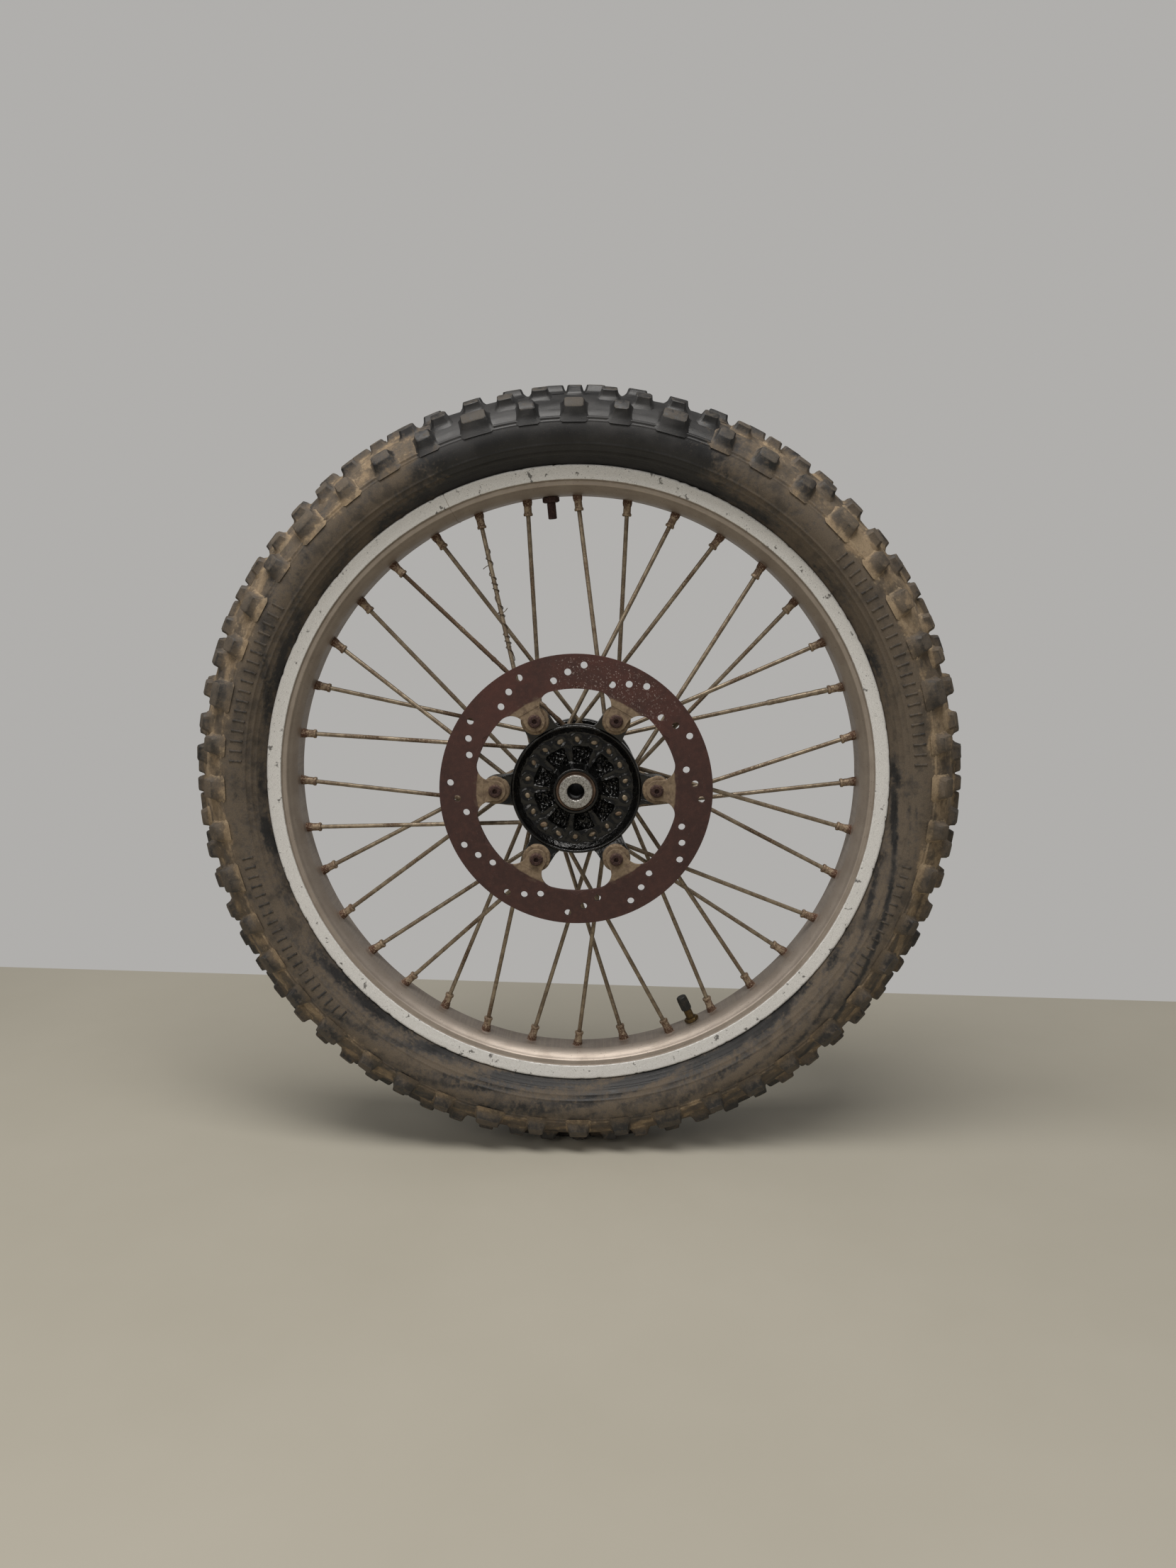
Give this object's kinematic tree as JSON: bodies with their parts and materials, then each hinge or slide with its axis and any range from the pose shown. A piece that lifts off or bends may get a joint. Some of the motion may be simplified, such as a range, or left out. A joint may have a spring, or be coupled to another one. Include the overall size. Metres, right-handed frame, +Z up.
{
  "type": "spoked front wheel with brake disc",
  "caption": "Wire-spoked motorcycle front wheel with knobbly tyre, drop-centre rim, cast hub, and a single ventilated brake disc rotor bolted to lugs on its left flange.",
  "frame": {"origin": "on the axle's axis, in the middle plane of the rim, inside the axle bore", "axes": "+Y along the axle away from the brake disc, +Z up through the rim's top, +X to the right seen from the disc side"},
  "size_m": [0.7, 0.111, 0.7],
  "materials": {
    "tyre_rubber": "matt, dusty tread",
    "tube_rubber": "matt",
    "rim_anodised": "champagne anodised, worn silver at the flange",
    "spoke_zinc": "dull zinc, dirty",
    "nipple_steel": "rusty nickel",
    "hub_black": "gloss black enamel on cast aluminium",
    "disc_steel": "rust bloom on the swept track",
    "bolt_steel": "dark, rusty",
    "bearing_steel": "ground",
    "collar_zinc": "bright zinc",
    "seal_rubber": "matt, dusty",
    "valve_brass": "dull brass",
    "valve_rubber": "satin black",
    "cap_plastic": "moulded black"
  },
  "bodies": {
    "axle_fixed": {"collar_left": "collar_zinc", "collar_right": "collar_zinc", "distance_tube": "collar_zinc", "bearing_left_inner_race": "bearing_steel", "bearing_right_inner_race": "bearing_steel"},
    "wheel": {"tyre": "tyre_rubber", "inner_tube": "tube_rubber", "rim_tape": "tube_rubber", "rim": "rim_anodised", "hub": "hub_black", "brake_disc": "disc_steel", "disc_bolts": "bolt_steel", "spokes_left_leading": "spoke_zinc", "spokes_left_trailing": "spoke_zinc", "spokes_right_leading": "spoke_zinc", "spokes_right_trailing": "spoke_zinc", "nipples_left_leading": "nipple_steel", "nipples_left_trailing": "nipple_steel", "nipples_right_leading": "nipple_steel", "nipples_right_trailing": "nipple_steel", "bearing_left_outer_race": "bearing_steel", "bearing_right_outer_race": "bearing_steel", "seal_left": "seal_rubber", "seal_right": "seal_rubber", "valve_stem": "valve_rubber", "valve_core": "valve_brass", "valve_nut": "valve_brass", "rim_lock_shoe": "tube_rubber", "rim_lock_stud": "bolt_steel", "rim_lock_nut": "bolt_steel"},
    "ball_set_left": {"bearing_left_balls": "bearing_steel", "bearing_left_cage": "bearing_steel"},
    "ball_set_right": {"bearing_right_balls": "bearing_steel", "bearing_right_cage": "bearing_steel"},
    "valve_cap_body": {"valve_cap": "cap_plastic"},
    "valve_pin_body": {"valve_pin": "valve_brass"}
  },
  "joints": [
    {"name": "wheel_spin", "type": "hinge", "parent": "axle_fixed", "child": "wheel", "pos_m": [0, 0, 0], "axis": [0, 1, 0], "continuous": true},
    {"name": "ball_set_left_roll", "type": "hinge", "parent": "axle_fixed", "child": "ball_set_left", "pos_m": [0, 0, 0], "axis": [0, 1, 0], "continuous": true},
    {"name": "ball_set_right_roll", "type": "hinge", "parent": "axle_fixed", "child": "ball_set_right", "pos_m": [0, 0, 0], "axis": [0, 1, 0], "continuous": true},
    {"name": "valve_cap_off", "type": "slide", "parent": "wheel", "child": "valve_cap_body", "axis": [-0.4226, 0, 0.9063], "range_m": [0, 0.014]},
    {"name": "valve_pin_press", "type": "slide", "parent": "wheel", "child": "valve_pin_body", "axis": [0.4226, 0, -0.9063], "range_m": [0, 0.0012], "stiffness_N_per_m": 800, "springref_m": -0.001}
  ],
  "couplings": [
    {"joint": "ball_set_left_roll", "follows": "wheel_spin", "ratio": 0.619},
    {"joint": "ball_set_right_roll", "follows": "wheel_spin", "ratio": 0.619}
  ]
}
